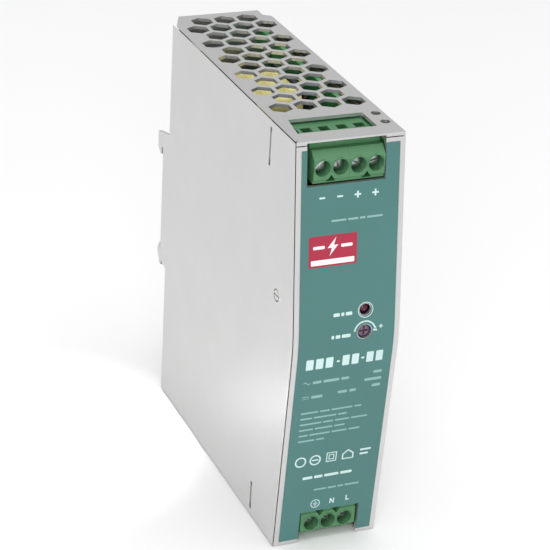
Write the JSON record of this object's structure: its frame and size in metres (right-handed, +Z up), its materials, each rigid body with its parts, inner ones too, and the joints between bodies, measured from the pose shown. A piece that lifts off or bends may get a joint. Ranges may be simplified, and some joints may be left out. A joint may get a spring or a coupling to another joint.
{
  "type": "din rail power supply",
  "caption": "Slim metal-cased power supply that hooks on a 35 mm top-hat rail, with screw terminals, a trimmer, an indicator and a sprung rail latch.",
  "frame": {"origin": "centre of the rear wall's face that seats on the rail, at the rail's centre height", "axes": "+X to the right seen from the front, +Y from the front to the rail, +Z up"},
  "size_m": [0.032, 0.1122, 0.1252],
  "materials": {
    "case_metal": "fine satin metal, light silver",
    "label": "teal printed film with a fine matt texture",
    "plated_steel": "zinc plated",
    "spring_steel": "drawn wire",
    "terminal_plastic": "moulded green nylon",
    "contact_metal": "tinned",
    "board": "green solder mask",
    "insulation": "translucent insulating film",
    "trimmer_plastic": "blue moulded",
    "rotor_plastic": "off-white moulded",
    "led_lens": "tinted lens",
    "ferrite": "sintered, dark grey",
    "black_plastic": "moulded black",
    "yellow_tape": "polyester tape",
    "capacitor_sleeve": "shrunk sleeve",
    "copper_wire": "enamelled wire",
    "heatsink_aluminium": "mill finish",
    "fuse_body": "ceramic tube with plated caps",
    "varistor_coat": "dipped epoxy",
    "coupler_plastic": "moulded white"
  },
  "bodies": {
    "case": {"chassis": "case_metal", "side_cover": "case_metal", "front_panel": "case_metal", "front_label": "label", "cover_screw": "plated_steel", "latch_spring": "spring_steel", "latch_screw_left": "plated_steel", "latch_screw_right": "plated_steel", "output_terminals_left": "terminal_plastic", "output_terminals_right": "terminal_plastic", "input_terminals": "terminal_plastic", "contact_bar_1": "contact_metal", "contact_bar_2": "contact_metal", "contact_bar_3": "contact_metal", "contact_bar_4": "contact_metal", "contact_bar_5": "contact_metal", "contact_bar_6": "contact_metal", "contact_bar_7": "contact_metal", "main_board": "board", "insulation_sheet": "insulation", "output_board": "board", "input_board": "board", "trimmer_body": "trimmer_plastic", "status_led": "led_lens", "transformer_core_left": "ferrite", "transformer_core_right": "ferrite", "transformer_bobbin": "black_plastic", "transformer_winding": "yellow_tape", "bulk_capacitor": "black_plastic", "output_capacitor_upper": "capacitor_sleeve", "output_capacitor_lower": "capacitor_sleeve", "input_choke_core": "ferrite", "input_choke_winding_upper": "copper_wire", "input_choke_winding_lower": "copper_wire", "primary_heatsink": "heatsink_aluminium", "secondary_heatsink": "heatsink_aluminium", "mosfet": "black_plastic", "output_rectifier": "black_plastic", "bridge_rectifier": "black_plastic", "x_capacitor": "yellow_tape", "fuse": "fuse_body", "varistor": "varistor_coat", "control_ic": "black_plastic", "optocoupler": "coupler_plastic"},
    "latch": {"rail_latch": "plated_steel"},
    "trimmer": {"trimmer_rotor": "rotor_plastic"},
    "screw_1": {"terminal_screw_1": "plated_steel"},
    "clamp_1": {"wire_clamp_1": "plated_steel"},
    "screw_2": {"terminal_screw_2": "plated_steel"},
    "clamp_2": {"wire_clamp_2": "plated_steel"},
    "screw_3": {"terminal_screw_3": "plated_steel"},
    "clamp_3": {"wire_clamp_3": "plated_steel"},
    "screw_4": {"terminal_screw_4": "plated_steel"},
    "clamp_4": {"wire_clamp_4": "plated_steel"},
    "screw_5": {"terminal_screw_5": "plated_steel"},
    "clamp_5": {"wire_clamp_5": "plated_steel"},
    "screw_6": {"terminal_screw_6": "plated_steel"},
    "clamp_6": {"wire_clamp_6": "plated_steel"},
    "screw_7": {"terminal_screw_7": "plated_steel"},
    "clamp_7": {"wire_clamp_7": "plated_steel"}
  },
  "joints": [
    {"name": "latch_slide", "type": "slide", "parent": "case", "child": "latch", "axis": [0, 0, -1], "range_m": [0, 0.005], "stiffness_N_per_m": 400, "springref_m": -0.004, "deforming": ["latch_spring"]},
    {"name": "trimmer_turn", "type": "hinge", "parent": "case", "child": "trimmer", "pos_m": [0.0054, -0.1066, 0.0045], "axis": [0, 1, 0], "range_deg": [-130, 130]},
    {"name": "screw_1_turn", "type": "hinge", "parent": "case", "child": "screw_1", "pos_m": [-0.0082, -0.1, 0.0526], "axis": [0, 1, 0], "range_deg": [0, 1800]},
    {"name": "clamp_1_slide", "type": "slide", "parent": "case", "child": "clamp_1", "axis": [0, -1, 0], "range_m": [0, 0.0025]},
    {"name": "screw_2_turn", "type": "hinge", "parent": "case", "child": "screw_2", "pos_m": [-0.003, -0.1, 0.0526], "axis": [0, 1, 0], "range_deg": [0, 1800]},
    {"name": "clamp_2_slide", "type": "slide", "parent": "case", "child": "clamp_2", "axis": [0, -1, 0], "range_m": [0, 0.0025]},
    {"name": "screw_3_turn", "type": "hinge", "parent": "case", "child": "screw_3", "pos_m": [0.0022, -0.1, 0.0526], "axis": [0, 1, 0], "range_deg": [0, 1800]},
    {"name": "clamp_3_slide", "type": "slide", "parent": "case", "child": "clamp_3", "axis": [0, -1, 0], "range_m": [0, 0.0025]},
    {"name": "screw_4_turn", "type": "hinge", "parent": "case", "child": "screw_4", "pos_m": [0.0074, -0.1, 0.0526], "axis": [0, 1, 0], "range_deg": [0, 1800]},
    {"name": "clamp_4_slide", "type": "slide", "parent": "case", "child": "clamp_4", "axis": [0, -1, 0], "range_m": [0, 0.0025]},
    {"name": "screw_5_turn", "type": "hinge", "parent": "case", "child": "screw_5", "pos_m": [-0.00435, -0.1002, -0.0591], "axis": [0, 1, 0], "range_deg": [0, 1800]},
    {"name": "clamp_5_slide", "type": "slide", "parent": "case", "child": "clamp_5", "axis": [0, -1, 0], "range_m": [0, 0.0025]},
    {"name": "screw_6_turn", "type": "hinge", "parent": "case", "child": "screw_6", "pos_m": [0.00085, -0.1002, -0.0591], "axis": [0, 1, 0], "range_deg": [0, 1800]},
    {"name": "clamp_6_slide", "type": "slide", "parent": "case", "child": "clamp_6", "axis": [0, -1, 0], "range_m": [0, 0.0025]},
    {"name": "screw_7_turn", "type": "hinge", "parent": "case", "child": "screw_7", "pos_m": [0.00605, -0.1002, -0.0591], "axis": [0, 1, 0], "range_deg": [0, 1800]},
    {"name": "clamp_7_slide", "type": "slide", "parent": "case", "child": "clamp_7", "axis": [0, -1, 0], "range_m": [0, 0.0025]}
  ],
  "couplings": [
    {"joint": "screw_1_turn", "follows": "clamp_1_slide", "rad_per_m": 12566},
    {"joint": "screw_2_turn", "follows": "clamp_2_slide", "rad_per_m": 12566},
    {"joint": "screw_3_turn", "follows": "clamp_3_slide", "rad_per_m": 12566},
    {"joint": "screw_4_turn", "follows": "clamp_4_slide", "rad_per_m": 12566},
    {"joint": "screw_5_turn", "follows": "clamp_5_slide", "rad_per_m": 12566},
    {"joint": "screw_6_turn", "follows": "clamp_6_slide", "rad_per_m": 12566},
    {"joint": "screw_7_turn", "follows": "clamp_7_slide", "rad_per_m": 12566}
  ]
}
